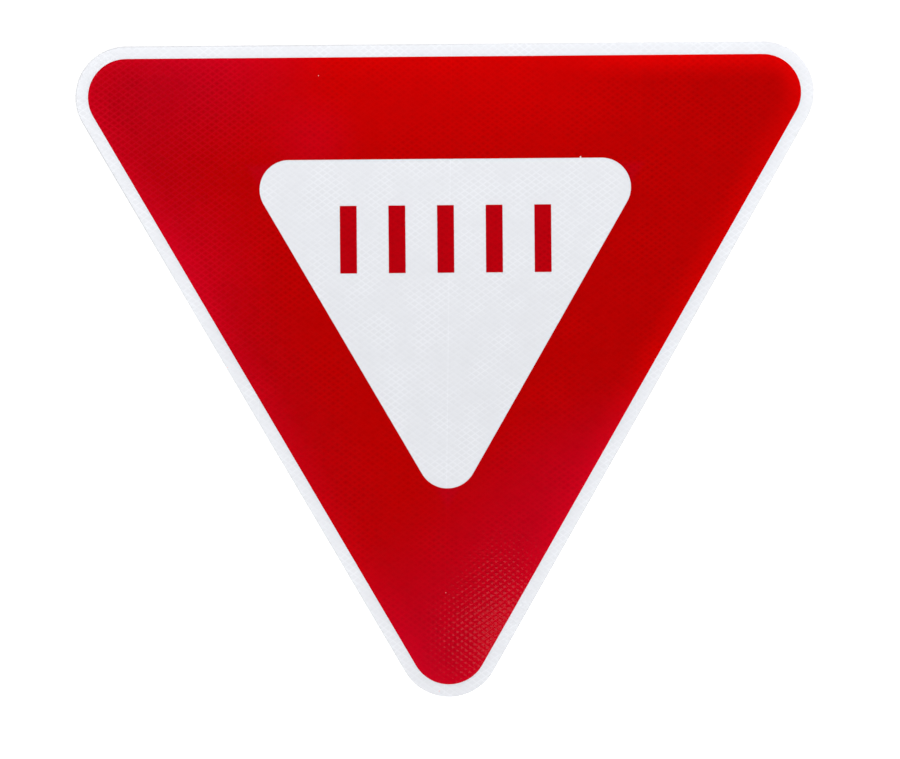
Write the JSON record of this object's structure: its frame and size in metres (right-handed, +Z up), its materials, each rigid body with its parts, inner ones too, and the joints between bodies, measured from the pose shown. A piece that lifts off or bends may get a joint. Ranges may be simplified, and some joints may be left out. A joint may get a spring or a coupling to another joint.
{
  "type": "give-way sign panel",
  "caption": "Flat triangular give-way sign panel, point down: aluminium blank, white prismatic sheeting, red border film and a row of plain red marks.",
  "frame": {"origin": "on the flat back face of the aluminium blank, at the centre of the triangle", "axes": "+Z up, with the triangle's point down; the face looks towards -Y and the bare back towards +Y; +X runs along the top edge"},
  "size_m": [0.8308, 0.0028, 0.7348],
  "materials": {
    "bare_aluminium": "bare mill-finish sheet with fine rolling grain, edges deburred",
    "white_sheeting": "cool white prismatic retroreflective sheeting with a fine diamond seal pattern, semi-gloss",
    "red_film": "clear red film over the sheeting, glossy, with the diamond pattern showing through"
  },
  "bodies": {
    "root": {"sign_blank": "bare_aluminium", "reflective_sheeting": "white_sheeting", "red_border": "red_film", "legend_mark_1": "red_film", "legend_mark_2": "red_film", "legend_mark_3": "red_film", "legend_mark_4": "red_film", "legend_mark_5": "red_film"}
  },
  "joints": []
}
